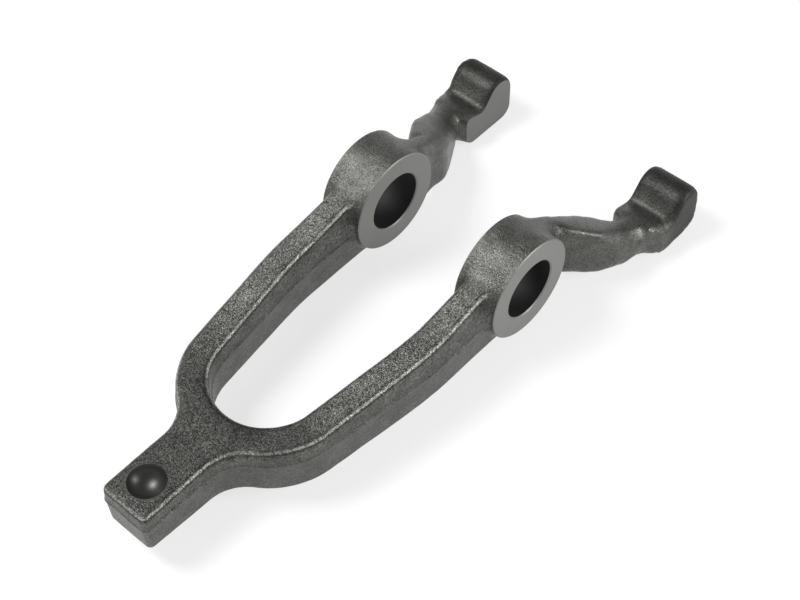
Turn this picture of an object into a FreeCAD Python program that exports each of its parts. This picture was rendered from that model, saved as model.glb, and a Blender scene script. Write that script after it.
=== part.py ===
"""Clutch release fork: a one-piece steel drop forging.

Frame: X runs from the push-rod end (-X) to the finger tips (+X), Y is across,
Z is up.  The origin is the middle of the pivot axis, which is the Y axis.
Millimetres.  The fork mirrors about the plane Y = 0.
"""
import FreeCAD, Part
import math
import os
from FreeCAD import Vector

# ---- driving dimensions -------------------------------------------------
# pivot bosses
bore_diameter = 25.0          # runs on the fork shaft
boss_diameter = 43.0
boss_width = 19.5             # machined face to machined face of one boss
boss_gap = 48.0               # clear between the two inner boss faces
bore_chamfer = 0.5
face_chamfer = 0.4

# forging
draft_angle = 4.0             # degrees, on every side wall, both ways from the parting plane
parting_z = -4.3              # parting plane of tang, yoke and arms
edge_radius = 2.6             # rounding of the upper and lower edges

# arms and yoke, sizes at the parting plane
arm_width = 13.0
arm_splay = 7.6               # degrees between each arm and the X axis
elbow_radius = 130.0          # arm turns parallel to X on this radius
yoke_radius = 27.8            # centre line of the U bend
yoke_x = -94.4                # centre of the U bend

# tang with the push-rod cup
tang_end_x = -166.0
tang_width = 22.8
tang_corner = 3.2
tang_blend = 16.0             # concave flare from tang to yoke
cup_x = -153.7
cup_rim_diameter = 14.2
cup_ball_diameter = 15.0
cup_chamfer = 0.5

# height line of the arms, (x, z) of its corners
tang_top_z = 3.1
tang_bottom_z = -17.6
yoke_top_x = -100.0
yoke_top_z = 4.1
yoke_bottom_x = -120.0
arm_top_x = -43.0
arm_top_z = 8.7
arm_bottom_z = -21.1
arm_rise = 10.5               # degrees, last stretch of the arm top before the boss
boss_blend = 14.0             # arm top into the boss
height_blend = 60.0           # between the straight stretches of top and underside

# fingers, from the boss through the S bend to the hook
finger_slope = 30.7           # degrees, top of the finger falling from the boss
finger_root_z = -20.4         # underside of the finger where it leaves the barrel
neck_dip_x = 28.0             # where the underside turns down
neck_inner_y = 27.2           # inner and outer side of the finger at the boss
neck_outer_y = 37.0
bend_inner_x = 34.5           # where the inner side starts outwards
bend_outer_x = 20.5           # where the outer side starts outwards
shoulder_x = 43.0             # where the outer side turns back along X
shoulder_y = 53.2
waist_x = 57.5                # narrowest place, just before the hook
waist_inner_y = 40.6
waist_outer_y = 56.0
waist_top_x = 54.0
waist_top_z = -6.6
waist_bottom_x = 54.0
waist_bottom_z = -25.2
waist_blend = 25.0
neck_end_x = 66.0             # the neck ends inside the hook
neck_end_z = -9.0
bend_radius = 15.0
hook_gap = 76.6               # clear between the two inner hook faces
hook_width = 21.0
hook_start_x = 59.3           # near end of the hook block
hook_shoulder_x = 65.5        # full width from here
hook_end_x = 90.3
hook_bottom_z = -27.0
hook_top_z = -8.2
hook_heel = 6.5               # rounding from hook underside to end face
neck_bevel = 1.8              # bevel on the neck's edges
hook_edge = 1.2               # bevel on the hook's outer edges
hook_toe = 6.5                # rounding at the near end of the hook underside
nose_top_z = -2.7
nose_radius = 8.3             # rounded nose that bears on the release sleeve
nose_end_angle = 50.4         # degrees past the crest to the near end of the nose
saddle_z = -11.6              # trough between hook and nose
saddle_radius = 3.0

# ---- values worked out from them ---------------------------------------
boss_radius = boss_diameter / 2
boss_mid = boss_gap / 2 + boss_width / 2
boss_outer = boss_gap / 2 + boss_width
splay = math.radians(arm_splay)
overrun = 1.0                 # plan outlines and side outlines pass each other by this much
block_top = boss_radius + 5.0       # the drafted blocks reach past the side outlines
block_bottom = hook_bottom_z - 2.0
up = Vector(0, 0, 1)


def polar(centre, radius, angle):
    """Point at an angle (radians, from +X) round a centre, in plan."""
    return centre[0] + radius * math.cos(angle), centre[1] + radius * math.sin(angle)


class Path:
    """A closed outline of tangent lines and arcs drawn in one plane."""

    def __init__(self, start, place):
        self.place = place
        self.here = start
        self.edges = []

    def line(self, to):
        if math.dist(self.here, to) > 1e-6:
            self.edges.append(Part.LineSegment(self.place(self.here), self.place(to)).toShape())
        self.here = to

    def arc(self, centre, to, turn):
        """Arc about a centre; turn is +1 anticlockwise, -1 clockwise."""
        radius = math.dist(self.here, centre)
        begin = math.atan2(self.here[1] - centre[1], self.here[0] - centre[0])
        end = math.atan2(to[1] - centre[1], to[0] - centre[0])
        sweep = (turn * (end - begin)) % (2 * math.pi)
        middle = polar(centre, radius, begin + turn * sweep / 2)
        self.edges.append(
            Part.Arc(self.place(self.here), self.place(middle), self.place(to)).toShape())
        self.here = to


def rounded(corners, place):
    """Closed outline from (x, y, radius) corners; radius 0 leaves a corner sharp."""
    count = len(corners)
    turns = []
    for i in range(count):
        before, this, after = corners[i - 1], corners[i], corners[(i + 1) % count]
        d1 = Vector(this[0] - before[0], this[1] - before[1], 0).normalize()
        d2 = Vector(after[0] - this[0], after[1] - this[1], 0).normalize()
        radius = this[2]
        side = math.copysign(1, d1.cross(d2).z)
        tangent = radius * math.tan(d1.getAngle(d2) / 2)
        start = (this[0] - d1.x * tangent, this[1] - d1.y * tangent)
        end = (this[0] + d2.x * tangent, this[1] + d2.y * tangent)
        centre = (start[0] - side * d1.y * radius, start[1] + side * d1.x * radius)
        turns.append((start, end, centre, side, radius))
    path = Path(turns[0][1], place)
    for start, end, centre, side, radius in turns[1:] + turns[:1]:
        path.line(start)
        if radius > 0:
            path.arc(centre, end, side)
    return path.edges


def plan(z):
    """Placer for outlines seen from above, at height z."""
    return lambda p: Vector(p[0], p[1], z)


def side_view(p):
    """Placer for outlines seen from the side, in the plane Y = 0."""
    return Vector(p[0], 0, p[1])


def drafted(outline, parting, top_z, angle):
    """Solid with its widest outline at the parting height, drafted both ways."""
    tangent = math.tan(math.radians(angle))
    top = Part.Wire(outline((top_z - parting) * tangent, top_z))
    middle = Part.Wire(outline(0.0, parting))
    bottom = Part.Wire(outline((parting - block_bottom) * tangent, block_bottom))
    upper = Part.makeLoft([middle, top], True, True)
    lower = Part.makeLoft([bottom, middle], True, True)
    return upper.fuse(lower)


def frame_outline(inset, z):
    """Tang, yoke and both arms in plan, as one closed outline."""
    bend = (yoke_x, 0.0)
    outer = yoke_radius + arm_width / 2 - inset
    inner = yoke_radius - arm_width / 2 + inset
    half_tang = tang_width / 2 - inset
    blend = tang_blend + inset
    blend_y = tang_width / 2 + tang_blend
    reach = yoke_radius + arm_width / 2 + tang_blend
    blend_x = yoke_x - math.sqrt(reach ** 2 - blend_y ** 2)
    flare = math.atan2(blend_y, blend_x - yoke_x)
    corner = (tang_end_x + tang_corner, tang_width / 2 - tang_corner)
    normal = math.pi / 2 + splay
    elbow_y = boss_mid - elbow_radius
    elbow_x = yoke_x + (elbow_y * math.cos(splay) - yoke_radius + elbow_radius) / math.sin(splay)
    elbow = (elbow_x, elbow_y)
    wide = elbow_radius + arm_width / 2 - inset
    tight = elbow_radius - arm_width / 2 + inset

    def mirror(point):
        return point[0], -point[1]

    path = Path((tang_end_x + inset, -corner[1]), plan(z))
    path.line((tang_end_x + inset, corner[1]))
    path.arc(corner, (corner[0], half_tang), -1)
    path.line((blend_x, half_tang))
    path.arc((blend_x, blend_y), polar(bend, outer, flare), 1)
    path.arc(bend, polar(bend, outer, normal), -1)
    path.line(polar(elbow, wide, normal))
    path.arc(elbow, (elbow_x, elbow_y + wide), -1)
    path.line((0.0, elbow_y + wide))
    path.line((0.0, elbow_y + tight))
    path.line((elbow_x, elbow_y + tight))
    path.arc(elbow, polar(elbow, tight, normal), 1)
    path.line(polar(bend, inner, normal))
    path.arc(bend, mirror(polar(bend, inner, normal)), 1)
    path.line(mirror(polar(elbow, tight, normal)))
    path.arc(mirror(elbow), (elbow_x, -elbow_y - tight), 1)
    path.line((0.0, -elbow_y - tight))
    path.line((0.0, -elbow_y - wide))
    path.line((elbow_x, -elbow_y - wide))
    path.arc(mirror(elbow), mirror(polar(elbow, wide, normal)), -1)
    path.line(mirror(polar(bend, outer, normal)))
    path.arc(bend, mirror(polar(bend, outer, flare)), -1)
    path.arc((blend_x, -blend_y), (blend_x, -half_tang), 1)
    path.line((corner[0], -half_tang))
    path.arc(mirror(corner), (tang_end_x + inset, -corner[1]), -1)
    return path.edges


def arm_profile():
    """Side outline of tang, yoke and arms, ending inside the boss."""
    rise = math.radians(arm_rise)
    direction = Vector(math.cos(rise), math.sin(rise), 0)
    normal = up.cross(direction)
    # centre of the blend: its distance from the line and from the boss axis are both known
    base = Vector(arm_top_x, arm_top_z, 0) + normal * boss_blend
    along = base.dot(direction)
    reach = boss_radius + boss_blend
    centre = base + direction * (-along - math.sqrt(along ** 2 - base.dot(base) + reach ** 2))
    touch = centre * (boss_radius / reach)
    tangent = up.cross(touch).normalize() * -1
    travel = (touch - Vector(arm_top_x, arm_top_z, 0)).dot(normal) / tangent.dot(normal)
    corner = touch - tangent * travel
    return rounded([
        (0.0, arm_bottom_z, 0.0),
        (0.0, 0.0, 0.0),
        (touch.x, touch.y, 0.0),
        (corner.x, corner.y, boss_blend),
        (arm_top_x, arm_top_z, height_blend),
        (yoke_top_x, yoke_top_z, height_blend),
        (tang_end_x - overrun, tang_top_z, 0.0),
        (tang_end_x - overrun, tang_bottom_z, 0.0),
        (yoke_bottom_x, arm_bottom_z, height_blend),
    ], side_view)


def neck_profile():
    """Side outline of the neck, from inside the boss to inside the hook."""
    slope = math.radians(finger_slope)
    return rounded([
        (0.0, 0.0, 0.0),
        (0.0, finger_root_z, 0.0),
        (neck_dip_x, finger_root_z, height_blend / 2),
        (waist_bottom_x, waist_bottom_z, height_blend / 2),
        (neck_end_x, waist_bottom_z, 0.0),
        (neck_end_x, neck_end_z, 0.0),
        (waist_top_x, waist_top_z, waist_blend),
        (boss_radius * math.sin(slope), boss_radius * math.cos(slope), 0.0),
    ], side_view)


def neck_outline():
    """Neck of one finger in plan, on the +Y side, running on into the hook."""
    return rounded([
        (0.0, neck_inner_y, 0.0),
        (bend_inner_x, neck_inner_y, bend_radius),
        (waist_x, waist_inner_y, bend_radius / 2),
        (neck_end_x + overrun, waist_inner_y, 0.0),
        (neck_end_x + overrun, waist_outer_y, 0.0),
        (waist_x, waist_outer_y, bend_radius),
        (shoulder_x, shoulder_y, bend_radius),
        (bend_outer_x, neck_outer_y, bend_radius / 2),
        (0.0, neck_outer_y, 0.0),
    ], plan(block_bottom))


def hook_profile():
    """Side outline of the hook: heel, nose and the saddle behind it."""
    end = math.radians(nose_end_angle)
    nose_x = hook_end_x - nose_radius
    nose_z = nose_top_z - nose_radius
    crest_x = nose_x - nose_radius * math.tan(end / 2)
    fall_x = crest_x - (nose_top_z - saddle_z) / math.tan(end)
    return rounded([
        (hook_start_x, hook_bottom_z, hook_toe),
        (hook_end_x, hook_bottom_z, hook_heel),
        (hook_end_x, nose_top_z, nose_radius),
        (crest_x, nose_top_z, nose_radius),
        (fall_x, saddle_z, saddle_radius),
        (hook_start_x, hook_top_z, hook_toe / 2),
    ], side_view)


def hook_outline():
    """Hook of one finger in plan, on the +Y side."""
    inner = hook_gap / 2
    outer = inner + hook_width
    return rounded([
        (hook_start_x - overrun, inner, 0.0),
        (hook_end_x + overrun, inner, 0.0),
        (hook_end_x + overrun, outer, 0.0),
        (hook_shoulder_x, outer, bend_radius / 3),
        (hook_start_x - overrun, waist_outer_y, 0.0),
    ], plan(block_bottom))


def upright(outline):
    """Extrude a plan outline through the whole height of the fork."""
    face = Part.Face(Part.Wire(outline))
    return face.extrude(Vector(0, 0, block_top - block_bottom))


def across(profile):
    """Extrude a side outline over the whole width of the fork."""
    face = Part.Face(Part.Wire(profile))
    half_width = hook_gap / 2 + hook_width + overrun
    face.translate(Vector(0, -half_width, 0))
    return face.extrude(Vector(0, 2 * half_width, 0))


def sharp_edges(solid, wanted):
    """Edges where two faces meet at more than 40 degrees, if wanted(middle point)."""
    found = []
    for edge in solid.Edges:
        faces = solid.ancestorsOfType(edge, Part.Face)
        if len(faces) != 2 or edge.Length < 0.05:
            continue
        middle = edge.valueAt((edge.FirstParameter + edge.LastParameter) / 2)
        normals = [f.normalAt(*f.Surface.parameter(middle)) for f in faces]
        if normals[0].getAngle(normals[1]) > math.radians(40) and wanted(middle):
            found.append(edge)
    return found


def boss():
    """Pivot boss on the +Y side, its end faces machined."""
    barrel = Part.makeCylinder(boss_radius, boss_width, Vector(0, boss_gap / 2, 0), Vector(0, 1, 0))
    return barrel.makeChamfer(face_chamfer, barrel.Edges[0:3:2])


def bore():
    """Bore of one boss with its two chamfers, as a cutter."""
    radius = bore_diameter / 2
    wide = radius + bore_chamfer
    near, far = boss_gap / 2, boss_outer
    half = Part.Wire(Part.makePolygon([
        Vector(0, near - 1, 0), Vector(wide + 1, near - 1, 0), Vector(radius, near + bore_chamfer, 0),
        Vector(radius, far - bore_chamfer, 0), Vector(wide + 1, far + 1, 0), Vector(0, far + 1, 0),
        Vector(0, near - 1, 0)]))
    return Part.Face(half).revolve(Vector(0, 0, 0), Vector(0, 1, 0), 360)


def cup():
    """Ball socket for the push rod in the top of the tang, as a cutter."""
    ball = cup_ball_diameter / 2
    rim = cup_rim_diameter / 2
    rise = math.sqrt(ball ** 2 - rim ** 2)
    run = (cup_x - tang_end_x + overrun) / (yoke_top_x - tang_end_x + overrun)
    mouth_z = tang_top_z + run * (yoke_top_z - tang_top_z)
    bowl = Part.makeSphere(ball, Vector(cup_x, 0, mouth_z + rise))
    flare = Part.makeCone(rim - cup_chamfer, rim + 2 * cup_chamfer, 3 * cup_chamfer,
                          Vector(cup_x, 0, mouth_z - cup_chamfer))
    return bowl.fuse(flare)


def mirrored(shape):
    return shape.mirror(Vector(0, 0, 0), Vector(0, 1, 0))


frame = drafted(frame_outline, parting_z, block_top, draft_angle).common(across(arm_profile()))
rims = sharp_edges(frame, lambda p: p.x < -0.5)
frame = frame.makeFillet(edge_radius, rims)
neck = upright(neck_outline()).common(across(neck_profile()))
neck = neck.makeChamfer(neck_bevel, sharp_edges(neck, lambda p: 3 < p.x < neck_end_x - 1))
hook = upright(hook_outline()).common(across(hook_profile()))
middle_y = (hook_gap + hook_width) / 2
outer_rims = sharp_edges(hook, lambda p: p.y > middle_y or p.x < hook_start_x + hook_edge)
hook = hook.makeChamfer(hook_edge, outer_rims)

fork = frame
for side in (lambda shape: shape, mirrored):
    fork = fork.fuse([side(boss()), side(neck)])
fork = fork.removeSplitter()
fork = fork.fuse([hook, mirrored(hook)]).removeSplitter()
fork = fork.cut([bore(), mirrored(bore()), cup()])
os.makedirs("parts", exist_ok=True)
fork.exportStep("parts/clutch_fork.step")
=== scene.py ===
"""Looks of the clutch fork: a dark drop-forged steel lever with machined faces.

The forging is a finer copy of the CAD solid with relaxed junctions, a flash line and
an uneven skin.  Metres, in the frame of the CAD part: X along the fork, Y along the
pivot axis, Z up.
"""
import math

import bmesh
import bpy
import numpy as np
from mathutils import Matrix, Vector, noise
from mathutils.kdtree import KDTree


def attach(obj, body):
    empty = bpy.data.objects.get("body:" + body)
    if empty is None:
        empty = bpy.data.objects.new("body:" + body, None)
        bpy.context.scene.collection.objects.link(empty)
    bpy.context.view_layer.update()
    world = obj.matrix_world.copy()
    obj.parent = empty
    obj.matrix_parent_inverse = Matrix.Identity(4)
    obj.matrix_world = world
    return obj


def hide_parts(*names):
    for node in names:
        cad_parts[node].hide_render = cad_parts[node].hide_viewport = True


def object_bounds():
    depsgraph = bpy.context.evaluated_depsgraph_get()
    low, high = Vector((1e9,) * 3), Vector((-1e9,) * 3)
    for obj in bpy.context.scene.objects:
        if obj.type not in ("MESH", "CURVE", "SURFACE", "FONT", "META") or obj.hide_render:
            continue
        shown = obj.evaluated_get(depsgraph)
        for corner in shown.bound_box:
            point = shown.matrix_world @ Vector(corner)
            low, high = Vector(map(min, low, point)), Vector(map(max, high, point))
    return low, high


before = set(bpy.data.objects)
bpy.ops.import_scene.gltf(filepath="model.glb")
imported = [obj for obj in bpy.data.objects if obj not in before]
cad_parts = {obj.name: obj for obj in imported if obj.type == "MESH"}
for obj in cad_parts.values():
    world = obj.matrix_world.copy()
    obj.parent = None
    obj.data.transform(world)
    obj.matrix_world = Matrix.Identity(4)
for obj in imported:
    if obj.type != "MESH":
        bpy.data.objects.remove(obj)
cad_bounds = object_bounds()
MM = 0.001

# ---- sizes of the part that the looks depend on -----------------------------------
BORE_RADIUS = 12.5 * MM
BOSS_RADIUS = 21.5 * MM
BOSS_INNER_Y = 24.0 * MM
BOSS_OUTER_Y = 43.5 * MM
PLATE_Y = 38.3 * MM            # milled inner face of each hook
PLATE_START_X = 59.3 * MM
CUP_X = -153.7 * MM
CUP_MOUTH_RADIUS = 7.6 * MM
CUP_BOTTOM_Z = -6.0 * MM
NECK_START_X = 10.0 * MM
HOOK_START_X = 58.0 * MM
FORK_END_X = 92.0 * MM

# ---- where the two halves of the forging die met ----------------------------------
PARTING_Z = -4.3 * MM          # tang, yoke and arms
NECK_PARTING = (               # (station, height) in mm along the fingers
    (18.0, -3.0), (31.0, -3.4), (36.5, -8.0), (44.0, -12.5), (52.0, -18.0),
    (62.0, -21.5), (92.0, -21.5))

# ---- fineness of the visual mesh --------------------------------------------------
COARSE_EDGE = 2.4 * MM
CORNER_EDGE = 1.5 * MM         # near the junctions and the edges of the hooks
FLASH_EDGE = 0.9 * MM          # near the flash line
BORE_EDGE = 4 * COARSE_EDGE    # bores keep the facets of the CAD mesh
JUNCTION_ZONE = 2.0 * MM
HOOK_ZONE = 1.5 * MM
FLASH_ZONE = 0.8 * MM
BORE_ZONE = 1.5 * MM
REFINE_ROUNDS = 9

# ---- corners that are softened ----------------------------------------------------
JUNCTION_START_X = -26.0 * MM
HOLLOW_ANGLE = math.radians(18)
BEVEL_ANGLE = math.radians(20)
POINT_SPACING = 1.5 * MM
CLEAR_OF_BOSS = 0.5 * MM
ARM_REACH = 6.0 * MM           # how far from a junction the shape is softened
FINGER_REACH = 8.0 * MM
NECK_ROUNDING = 5.0 * MM
HOOK_ROUNDING = 2.2 * MM
NECK_SOFTNESS = 0.9
HOOK_SOFTNESS = 0.35
JUNCTION_PLATEAU = 1.2         # above one, the softness is full close to the corner
BEVEL_PLATEAU = 1.3
WEIGHT_ROUNDS = 20
RELAX_ROUNDS = 45
RELAX_STEP = 0.5

# ---- skin of the forging ----------------------------------------------------------
BROAD_SIZE, BROAD_LIFT = 11.0 * MM, 0.10 * MM
MIDDLE_SIZE, MIDDLE_LIFT = 4.0 * MM, 0.055 * MM
MIDDLE_OFFSET = Vector((7, 3, 1))
SKIN_SINK = 0.10 * MM
FLASH_HALF_WIDTH = 0.62 * MM
FRAME_FLASH, FINGER_FLASH = 0.42 * MM, 0.15 * MM
FLASH_STEADY, FLASH_VARYING = 0.7, 0.3
WAVE_SIZE, WAVE_HEIGHT = 9.0 * MM, 0.35 * MM
CLEAR_OF_BARREL = 1.0 * MM
UPRIGHT = 0.5
SHARP_ANGLE = math.radians(38)

# material slots, in the order in which the materials are added
SKIN, TURNED, BORE, MILLED, CUP = range(5)


# ---- a finer copy of the CAD solid ------------------------------------------------
def flash_height(x):
    """Height of the parting surface at stations along the fork."""
    stations, heights = np.array(NECK_PARTING).T * MM
    return np.where(x < 0.0, PARTING_Z, np.interp(x, stations, heights))


def coordinates(bm):
    return np.array([v.co[:] for v in bm.verts])


def middle_of(edge):
    return (edge.verts[0].co + edge.verts[1].co) / 2


def is_junction(edge):
    """True for a hollow corner between the barrels, arms, fingers and hooks."""
    hollow = len(edge.link_faces) == 2 and edge.calc_face_angle_signed(0.0) <= -HOLLOW_ANGLE
    return hollow and middle_of(edge).x >= JUNCTION_START_X


def is_bevel(edge, start_x, end_x):
    """True for an outward corner of a finger between two stations."""
    middle = middle_of(edge)
    on_finger = start_x < middle.x < end_x and abs(middle.y) >= BOSS_INNER_Y + CLEAR_OF_BOSS
    off_barrel = math.hypot(middle.x, middle.z) >= BOSS_RADIUS + CLEAR_OF_BOSS
    on_plate = abs(abs(middle.y) - PLATE_Y) < 0.1 * MM and middle.x > PLATE_START_X + 3 * MM
    outward = len(edge.link_faces) == 2 and edge.calc_face_angle(0.0) >= BEVEL_ANGLE
    return on_finger and off_barrel and not on_plate and outward


def points_along(edges):
    """Closely spaced points on a set of edges."""
    points = []
    for edge in edges:
        steps = max(1, int(edge.calc_length() / POINT_SPACING))
        start, end = edge.verts[0].co, edge.verts[1].co
        points += [start.lerp(end, i / steps)[:] for i in range(steps + 1)]
    return np.array(points)


def distance_to(points, co):
    """Distance from each coordinate to the nearest of a set of points."""
    tree = KDTree(len(points))
    for i, point in enumerate(points):
        tree.insert(point, i)
    tree.balance()
    return np.array([tree.find(c)[2] for c in co])


def edge_limits(co, junctions, hook_bevels):
    """Longest edge that may leave each vertex."""
    near_junction = distance_to(junctions, co) < JUNCTION_ZONE
    near_bevel = distance_to(hook_bevels, co) < HOOK_ZONE
    near_flash = np.abs(co[:, 2] - flash_height(co[:, 0])) < FLASH_ZONE
    limit = np.where(near_junction | near_bevel, CORNER_EDGE, COARSE_EDGE)
    limit[near_flash & (co[:, 0] < 0.0)] = FLASH_EDGE
    limit[np.hypot(co[:, 0], co[:, 2]) < BORE_RADIUS + BORE_ZONE] = BORE_EDGE
    return limit


def refine(bm, junctions, hook_bevels):
    """Halve long edges until each is as short as its place needs."""
    for _ in range(REFINE_ROUNDS):
        bm.verts.index_update()
        limit = edge_limits(coordinates(bm), junctions, hook_bevels)
        long_edges = [e for e in bm.edges if e.calc_length() > min(limit[v.index] for v in e.verts)]
        if not long_edges:
            break
        bmesh.ops.subdivide_edges(bm, edges=long_edges, cuts=1, use_grid_fill=False)
        opened = [f for f in bm.faces if len(f.verts) > 3]
        bmesh.ops.triangulate(bm, faces=opened, quad_method="SHORT_EDGE")
    bm.normal_update()
    bm.verts.index_update()


def surface_kind(face):
    """Which surface of the fork a facet lies on, as a material slot."""
    centre, normal = face.calc_center_median(), face.normal
    axis = math.hypot(centre.x, centre.z)
    side = abs(centre.y)
    if axis < BORE_RADIUS + 0.05 * MM and BOSS_INNER_Y - MM < side < BOSS_OUTER_Y + MM:
        return BORE
    to_boss_end = min(abs(side - BOSS_INNER_Y), abs(side - BOSS_OUTER_Y))
    if abs(normal.y) > 0.6 and axis < BOSS_RADIUS and to_boss_end < 0.6 * MM:
        return TURNED
    if abs(side - PLATE_Y) < 0.02 * MM and centre.x > PLATE_START_X and abs(normal.y) > 0.99:
        return MILLED
    if math.hypot(centre.x - CUP_X, centre.y) < CUP_MOUTH_RADIUS and centre.z > CUP_BOTTOM_Z:
        return CUP
    return SKIN


# ---- softened junctions -----------------------------------------------------------
def neighbour_mean(values, edges):
    """Mean of a value over the neighbours of each vertex."""
    ends = np.concatenate([edges[:, 0], edges[:, 1]])
    others = np.concatenate([edges[:, 1], edges[:, 0]])
    columns = values.reshape(len(values), -1)
    sums = [np.bincount(ends, column, len(values)) for column in columns[others].T]
    count = np.bincount(ends, minlength=len(values))
    return (np.stack(sums, axis=1) / count[:, None]).reshape(values.shape)


def softness(co, edges, held, junctions, neck_bevels, hook_bevels):
    """How freely each vertex moves when the corners are relaxed, from 0 to 1."""
    def near(points, reach, plateau):
        return np.clip(plateau - distance_to(points, co) / reach, 0.0, 1.0)

    reach = np.where(co[:, 0] > 0.0, FINGER_REACH, ARM_REACH)
    weight = near(junctions, reach, JUNCTION_PLATEAU)
    weight = np.maximum(weight, NECK_SOFTNESS * near(neck_bevels, NECK_ROUNDING, BEVEL_PLATEAU))
    weight = np.maximum(weight, HOOK_SOFTNESS * near(hook_bevels, HOOK_ROUNDING, BEVEL_PLATEAU))
    weight[held] = 0.0
    for _ in range(WEIGHT_ROUNDS):
        weight = neighbour_mean(weight, edges)
        weight[held] = 0.0
    return weight


# ---- uneven forging skin and flash line -------------------------------------------
def skin_lift(co, normals, held):
    """Height of the skin over the smooth shape, mostly below it."""
    lift = np.zeros(len(co))
    parting = flash_height(co[:, 0])
    for i, c in enumerate(co):
        if held[i]:
            continue
        place = Vector(c)
        middle = noise.noise(place / MIDDLE_SIZE + MIDDLE_OFFSET)
        lift[i] = BROAD_LIFT * noise.noise(place / BROAD_SIZE) + MIDDLE_LIFT * middle - SKIN_SINK
        wave = WAVE_HEIGHT * noise.noise(Vector((c[0], c[1], 0)) / WAVE_SIZE)
        away = abs(c[2] - parting[i] - wave) / FLASH_HALF_WIDTH
        off_barrel = math.hypot(c[0], c[2]) > BOSS_RADIUS + CLEAR_OF_BARREL or abs(c[1]) > BOSS_OUTER_Y
        if away < 1.0 and off_barrel and 1.0 - abs(normals[i][2]) > UPRIGHT:
            ridge = FRAME_FLASH if c[0] < 0.0 else FINGER_FLASH
            lift[i] += ridge * (1.0 - away * away) * (FLASH_STEADY + FLASH_VARYING * middle)
    return lift


def place_vertices(bm, co):
    for vertex, c in zip(bm.verts, co):
        vertex.co = c


def forging_mesh(source):
    """Mesh of the whole fork, with a material slot on every face."""
    bm = bmesh.new()
    bm.from_mesh(source)
    bmesh.ops.remove_doubles(bm, verts=bm.verts, dist=1e-6)
    bmesh.ops.dissolve_degenerate(bm, edges=bm.edges, dist=1e-6)
    bmesh.ops.triangulate(bm, faces=bm.faces)
    junctions = points_along(e for e in bm.edges if is_junction(e))
    neck_bevels = points_along(e for e in bm.edges if is_bevel(e, NECK_START_X, HOOK_START_X))
    hook_bevels = points_along(e for e in bm.edges if is_bevel(e, HOOK_START_X, FORK_END_X))
    refine(bm, junctions, hook_bevels)
    co = coordinates(bm)
    edges = np.array([(e.verts[0].index, e.verts[1].index) for e in bm.edges])

    # machined surfaces keep their exact shape
    face_kind = [surface_kind(face) for face in bm.faces]
    held = np.zeros(len(co), bool)
    for face, kind in zip(bm.faces, face_kind):
        if kind != SKIN:
            held[[v.index for v in face.verts]] = True

    weight = softness(co, edges, held, junctions, neck_bevels, hook_bevels)
    for _ in range(RELAX_ROUNDS):
        co += RELAX_STEP * weight[:, None] * (neighbour_mean(co, edges) - co)
    place_vertices(bm, co)
    bm.normal_update()
    normals = np.array([v.normal[:] for v in bm.verts])
    ease = np.ones(len(co))
    ease[edges[held[edges].any(axis=1)]] = 0.0
    co += normals * (skin_lift(co, normals, held) * ease)[:, None]
    place_vertices(bm, np.clip(co, cad_bounds[0], cad_bounds[1]))

    bm.faces.index_update()
    for face, kind in zip(bm.faces, face_kind):
        face.material_index = kind
        face.smooth = True
    for edge in bm.edges:
        kinds = {face_kind[f.index] for f in edge.link_faces}
        if len(kinds) > 1 or edge.calc_face_angle(0.0) > SHARP_ANGLE:
            edge.smooth = False
    mesh = bpy.data.meshes.new("fork_forging")
    bm.to_mesh(mesh)
    bm.free()
    return mesh


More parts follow.
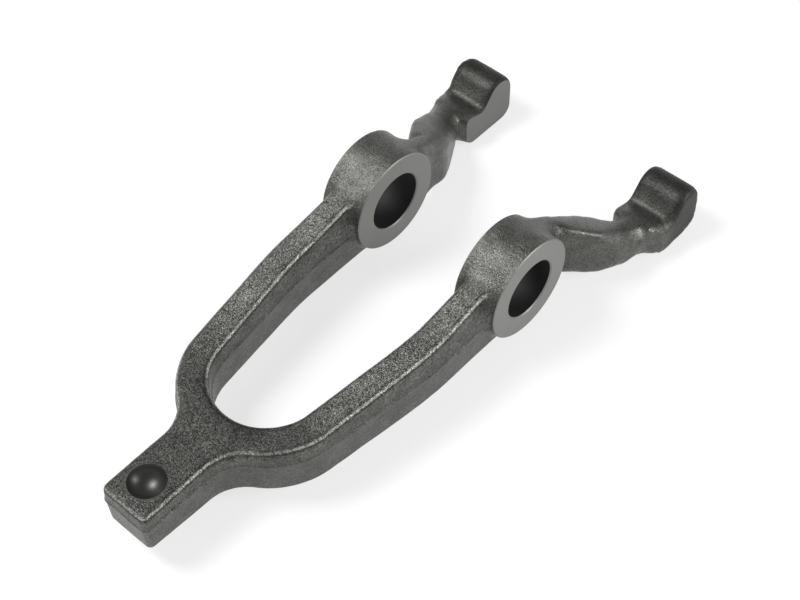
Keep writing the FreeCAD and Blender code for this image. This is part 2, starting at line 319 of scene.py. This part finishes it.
# ---- materials --------------------------------------------------------------------
class Shader:
    """Small helper to lay out a node material."""

    def __init__(self, name):
        self.material = bpy.data.materials.new(name)
        self.material.use_nodes = True
        self.tree = self.material.node_tree
        self.surface = self.tree.nodes["Principled BSDF"]
        coordinate = self.add("ShaderNodeTexCoord")
        self.place = coordinate.outputs["Object"]
        self.facing = coordinate.outputs["Normal"]

    def add(self, kind, **inputs):
        made = self.tree.nodes.new(kind)
        for key, value in inputs.items():
            made.inputs[key.replace("_", " ")].default_value = value
        return made

    def link(self, source, target):
        self.tree.links.new(source, target)

    def plain(self, colour, metallic, roughness):
        """Same colour and shine all over."""
        self.surface.inputs["Base Color"].default_value = (*colour, 1.0)
        self.surface.inputs["Metallic"].default_value = metallic
        self.surface.inputs["Roughness"].default_value = roughness

    def grain(self, size, detail, roughness):
        """Noise with features of a given size, in metres."""
        made = self.add("ShaderNodeTexNoise", Scale=1.0 / size, Detail=detail, Roughness=roughness)
        self.link(self.place, made.inputs["Vector"])
        return made.outputs["Fac"]

    def ramp(self, source, stops):
        """Colour over a source, from (position, grey or colour) stops."""
        made = self.add("ShaderNodeValToRGB")
        points = made.color_ramp.elements
        while len(points) < len(stops):
            points.new(0.5)
        for point, (position, value) in zip(points, stops):
            colour = value if isinstance(value, tuple) else (value, value, value)
            point.position = position
            point.color = (*colour, 1.0)
        self.link(source, made.inputs["Fac"])
        return made.outputs["Color"]

    def span(self, source, start, end, low, high):
        """Straight change from one value to another between two ends of a source."""
        made = self.add("ShaderNodeMapRange", From_Min=start, From_Max=end, To_Min=low, To_Max=high)
        self.link(source, made.inputs["Value"])
        return made.outputs["Result"]

    def combine(self, operation, first, second):
        made = self.add("ShaderNodeVectorMath")
        made.operation = operation
        self.link(first, made.inputs[0])
        self.link(second, made.inputs[1])
        return made.outputs["Vector"]

    def times(self, first, second):
        return self.combine("MULTIPLY", first, second)

    def one_or(self, factor, source):
        """One where the factor is nothing, the source where it is full."""
        made = self.add("ShaderNodeMix")
        self.link(factor, made.inputs[0])
        made.inputs[2].default_value = 1.0
        self.link(source, made.inputs[3])
        return made.outputs[0]

    def part(self, source, axis):
        """One of the X, Y and Z parts of a vector."""
        made = self.add("ShaderNodeSeparateXYZ")
        self.link(source, made.inputs[0])
        return made.outputs[axis]

    def bump(self, layers):
        """Stack of (height source, distance in metres, strength as a number or a source)."""
        before = None
        for height, distance, strength in layers:
            made = self.add("ShaderNodeBump", Distance=distance)
            if isinstance(strength, float):
                made.inputs["Strength"].default_value = strength
            else:
                self.link(strength, made.inputs["Strength"])
            self.link(height, made.inputs["Height"])
            if before is not None:
                self.link(before, made.inputs["Normal"])
            before = made.outputs["Normal"]
        self.link(before, self.surface.inputs["Normal"])


def rim_highlight_and_shade(s, along, upward):
    """Upper rims of tang, yoke and arms painted bright in patches as highlight and rubbed wear, with a
    band of painted shade below.
    """
    barrel_fade = s.span(along, -24 * MM, -18 * MM, 1.0, 0.0)
    above_flash = s.times(barrel_fade, s.span(s.part(s.place, "Z"), -2.5 * MM, 0.0, 0.0, 1.0))
    # painted by slope: painted shade where the side faces outward under the rim, painted highlight where
    # it turns up into the top
    rim = s.ramp(upward, [(0.06, 1.0), (0.18, 0.50), (0.42, 0.50), (0.58, 2.4), (0.74, 2.4), (0.86, 1.0)])
    patches = s.ramp(s.grain(1.1 * MM, 3.0, 0.7), [(0.36, 0.55), (0.62, 1.5)])
    return s.one_or(above_flash, s.times(rim, patches))


def forging_skin():
    """Dark scale over a peened, grainy skin; the hooks and the top of the tang are darkened with painted
    shade, and the rims carry painted highlight and shade.
    """
    s = Shader("forged_steel_skin")
    along = s.part(s.place, "X")
    upward = s.part(s.facing, "Z")
    coarse = s.grain(7 * MM, 4.0, 0.6)
    fine = s.grain(0.8 * MM, 3.0, 0.7)
    scale = s.ramp(coarse, [(0.3, (0.068, 0.068, 0.062)), (0.7, (0.108, 0.108, 0.100))])
    specks = s.ramp(s.grain(0.55 * MM, 2.0, 0.7), [(0.36, 0.56), (0.64, 1.6)])
    # painted shade: the upward faces of the tang are darkened
    tang_top = s.times(s.span(along, -115 * MM, -75 * MM, 1.0, 0.0), s.span(upward, 0.6, 0.95, 0.0, 1.0))
    tang_top_painted_shade = s.span(tang_top, 0.0, 1.0, 1.0, 0.42)
    # painted shade: the ends of the hooks are darkened
    hook_painted_shade = s.span(along, 67 * MM, 75 * MM, 1.0, 0.38)
    # the colour is multiplied by the painted shade of the tang top and hooks and by the rims' painted
    # highlight and shade
    tone = s.times(s.times(tang_top_painted_shade, hook_painted_shade), rim_highlight_and_shade(s, along, upward))
    s.link(s.times(s.times(scale, specks), tone), s.surface.inputs["Base Color"])
    s.surface.inputs["Metallic"].default_value = 0.85

    dull_hooks = s.span(along, 60 * MM, 70 * MM, 0.0, 0.14)
    roughness = s.combine("ADD", s.ramp(fine, [(0.3, 0.28), (0.7, 0.46)]), dull_hooks)
    s.link(roughness, s.surface.inputs["Roughness"])
    smoother_fingers = s.span(along, 15 * MM, 32 * MM, 1.0, 0.4)
    s.bump([(coarse, 0.25 * MM, 0.5),
            (s.grain(2.2 * MM, 3.0, 0.7), 0.24 * MM, 0.8),
            (s.grain(0.65 * MM, 3.0, 0.75), 0.26 * MM, smoother_fingers)])
    return s.material


def machined(name, colour, metallic, roughness, mark_size, mark_depth):
    """Cut metal with very fine tool marks."""
    s = Shader(name)
    s.plain(colour, metallic, roughness)
    s.bump([(s.grain(mark_size, 2.0, 0.6), mark_depth, 0.6)])
    return s.material


materials = {
    SKIN: forging_skin(),
    TURNED: machined("forged_steel_turned", (0.21, 0.21, 0.20), 0.6, 0.5, 0.7 * MM, 0.02 * MM),
    # bores coloured near black: painted shade inside the holes
    BORE: machined("forged_steel_bore", (0.004, 0.004, 0.004), 0.1, 0.7, 1.2 * MM, 0.12 * MM),
    MILLED: machined("forged_steel_milled", (0.145, 0.145, 0.14), 0.6, 0.5, 0.9 * MM, 0.03 * MM),
    # cup coloured darker than the other cut faces: painted shade in the hollow
    CUP: machined("forged_steel_cup", (0.048, 0.048, 0.045), 0.7, 0.40, 1.5 * MM, 0.05 * MM),
}
fork_mesh = forging_mesh(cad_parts["clutch_fork"].data)
for kind in sorted(materials):
    fork_mesh.materials.append(materials[kind])
fork = bpy.data.objects.new("fork_forging", fork_mesh)
bpy.context.collection.objects.link(fork)
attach(fork, "root")
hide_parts("clutch_fork")

# ---- floor, room, light and camera ------------------------------------------------
FLOOR_HALF = 1.6
FLOOR_GLOW = 0.72              # share of plain white in what the camera and shiny steel see
CORNERS = ((-1, -1), (1, -1), (1, 1), (-1, 1))
ROOM_TONES = ((0.1, 0.95), (0.75, 0.22))    # (height of the view, grey): pale walls, dimmer ceiling
FORK_MIDDLE = Vector((-0.035, 0.0, 0.0))
LAMP_DISTANCE = 0.9
AZIMUTH, ELEVATION, ROLL = math.radians(-47.485), math.radians(51.10), math.radians(-0.994)
CAMERA_DISTANCE = 28.670 * BOSS_RADIUS
CAMERA_LEFT = 0.7583 * BOSS_RADIUS
CAMERA_DOWN = 1.2217 * BOSS_RADIUS


def floor_material():
    """White floor that keeps the shadow and looks nearly plain white to the camera."""
    s = Shader("floor_white")
    s.plain((0.93, 0.93, 0.93), 0.0, 0.9)
    rays = s.add("ShaderNodeLightPath")
    seen = s.add("ShaderNodeMath")
    seen.operation = "MAXIMUM"
    s.link(rays.outputs["Is Camera Ray"], seen.inputs[0])
    s.link(rays.outputs["Is Glossy Ray"], seen.inputs[1])
    share = s.add("ShaderNodeMath")
    share.operation = "MULTIPLY"
    s.link(seen.outputs[0], share.inputs[0])
    share.inputs[1].default_value = FLOOR_GLOW
    mixed = s.add("ShaderNodeMixShader")
    s.link(share.outputs[0], mixed.inputs[0])
    s.link(s.surface.outputs[0], mixed.inputs[1])
    s.link(s.add("ShaderNodeEmission", Strength=1.0).outputs[0], mixed.inputs[2])
    s.link(mixed.outputs[0], s.tree.nodes["Material Output"].inputs["Surface"])
    return s.material


def add_floor(height):
    mesh = bpy.data.meshes.new("floor")
    mesh.from_pydata([(x * FLOOR_HALF, y * FLOOR_HALF, height) for x, y in CORNERS], [], [(0, 1, 2, 3)])
    mesh.materials.append(floor_material())
    floor = bpy.data.objects.new("floor", mesh)
    bpy.context.collection.objects.link(floor)


def add_room():
    """Plain grey surroundings that get dimmer with height."""
    world = bpy.data.worlds.new("studio")
    bpy.context.scene.world = world
    world.use_nodes = True
    nodes, links = world.node_tree.nodes, world.node_tree.links
    height = nodes.new("ShaderNodeSeparateXYZ")
    tone = nodes.new("ShaderNodeValToRGB")
    links.new(nodes.new("ShaderNodeTexCoord").outputs["Generated"], height.inputs[0])
    links.new(height.outputs["Z"], tone.inputs["Fac"])
    links.new(tone.outputs["Color"], nodes["Background"].inputs["Color"])
    for point, (position, grey) in zip(tone.color_ramp.elements, ROOM_TONES):
        point.position = position
        point.color = (grey, grey, grey, 1.0)


def soft_box(name, direction, size, power):
    """Square area light that shines from a direction on the middle of the fork."""
    lamp = bpy.data.lights.new(name, "AREA")
    lamp.size = size
    lamp.energy = power
    made = bpy.data.objects.new(name, lamp)
    aim = Vector(direction).normalized()
    made.location = aim * LAMP_DISTANCE + FORK_MIDDLE
    made.rotation_euler = aim.to_track_quat("Z", "Y").to_euler()
    bpy.context.collection.objects.link(made)


def add_camera():
    level = math.cos(ELEVATION)
    back = Vector((math.sin(AZIMUTH) * level, -math.cos(AZIMUTH) * level, math.sin(ELEVATION)))
    right = Vector((math.cos(AZIMUTH), math.sin(AZIMUTH), 0.0))
    above = back.cross(right)
    right, above = (right * math.cos(ROLL) + above * math.sin(ROLL),
                    above * math.cos(ROLL) - right * math.sin(ROLL))
    spot = back * CAMERA_DISTANCE - right * CAMERA_LEFT - above * CAMERA_DOWN
    lens = bpy.data.cameras.new("camera")
    lens.sensor_width = 36.0
    lens.lens = 71.88
    camera = bpy.data.objects.new("camera", lens)
    rows = [(right[i], above[i], back[i], spot[i]) for i in range(3)]
    camera.matrix_world = Matrix((*rows, (0.0, 0.0, 0.0, 1.0)))
    bpy.context.collection.objects.link(camera)
    bpy.context.scene.camera = camera


add_floor(cad_bounds[0][2])
add_room()
soft_box("key_box", (-0.33, 0.42, 0.83), 0.35, 9.5)
soft_box("side_box", (0.46, -0.77, 0.43), 0.24, 3.8)
add_camera()
bpy.context.scene.view_settings.view_transform = "Standard"
